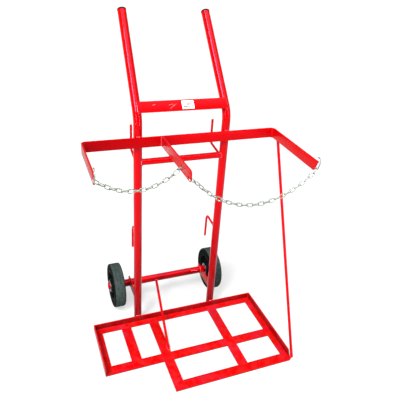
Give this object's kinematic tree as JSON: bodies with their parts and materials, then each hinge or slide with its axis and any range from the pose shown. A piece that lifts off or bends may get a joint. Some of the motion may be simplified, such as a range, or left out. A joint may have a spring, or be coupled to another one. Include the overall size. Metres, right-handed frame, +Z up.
{
  "type": "gas cylinder trolley",
  "caption": "Gas cylinder trolley with a welded tube frame, floor platform, retaining rail with divider, closing chains, hose hooks and rubber-tyred wheels.",
  "frame": {"origin": "on the floor, at the middle of the rear angle's underside, midway between the uprights", "axes": "+Z up along the uprights, -Y towards the front of the platform where the cylinders go on, +X to the right of a person who stands in front and faces the platform"},
  "size_m": [0.7876, 0.7338, 1.3011],
  "materials": {
    "red_paint": "gloss red enamel with light scuffs",
    "zinc_plate": "dull zinc plate",
    "tyre_rubber": "dusty solid rubber",
    "black_plastic": "satin moulded black",
    "label_film": "plain white film"
  },
  "bodies": {
    "trolley": {"left_upright": "red_paint", "right_upright": "red_paint", "top_cross_bar": "red_paint", "mid_cross_tube": "red_paint", "retaining_rail": "red_paint", "divider_arm": "red_paint", "left_chain_hook": "zinc_plate", "right_chain_hook": "zinc_plate", "left_upper_hose_hook": "red_paint", "left_lower_hose_hook": "red_paint", "right_upper_hose_hook": "red_paint", "right_lower_hose_hook": "red_paint", "axle_tube": "red_paint", "left_axle_bracket": "red_paint", "right_axle_bracket": "red_paint", "rear_angle": "red_paint", "left_side_angle": "red_paint", "right_side_angle": "red_paint", "left_platform_bar": "red_paint", "divide_platform_bar": "red_paint", "right_platform_bar": "red_paint", "left_front_bar": "red_paint", "left_front_bar_inner": "red_paint", "cross_bar_middle": "red_paint", "cross_bar_right": "red_paint", "right_front_bar": "red_paint", "centre_brace_rod": "red_paint", "side_brace_rod": "red_paint", "left_inner_washer": "zinc_plate", "right_inner_washer": "zinc_plate", "left_outer_washer": "zinc_plate", "right_outer_washer": "zinc_plate", "left_split_pin": "zinc_plate", "right_split_pin": "zinc_plate", "left_chain": "zinc_plate", "right_chain": "zinc_plate", "left_handle_cap": "black_plastic", "right_handle_cap": "black_plastic", "blank_label": "label_film"},
    "left_wheel": {"left_tyre": "tyre_rubber", "left_wheel_centre": "black_plastic", "left_hub_bush": "zinc_plate"},
    "right_wheel": {"right_tyre": "tyre_rubber", "right_wheel_centre": "black_plastic", "right_hub_bush": "zinc_plate"}
  },
  "joints": [
    {"name": "left_wheel_spin", "type": "hinge", "parent": "trolley", "child": "left_wheel", "pos_m": [-0.243, 0.17415, 0.1015], "axis": [1, 0, 0], "continuous": true},
    {"name": "right_wheel_spin", "type": "hinge", "parent": "trolley", "child": "right_wheel", "pos_m": [0.228, 0.17415, 0.1015], "axis": [1, 0, 0], "continuous": true}
  ]
}
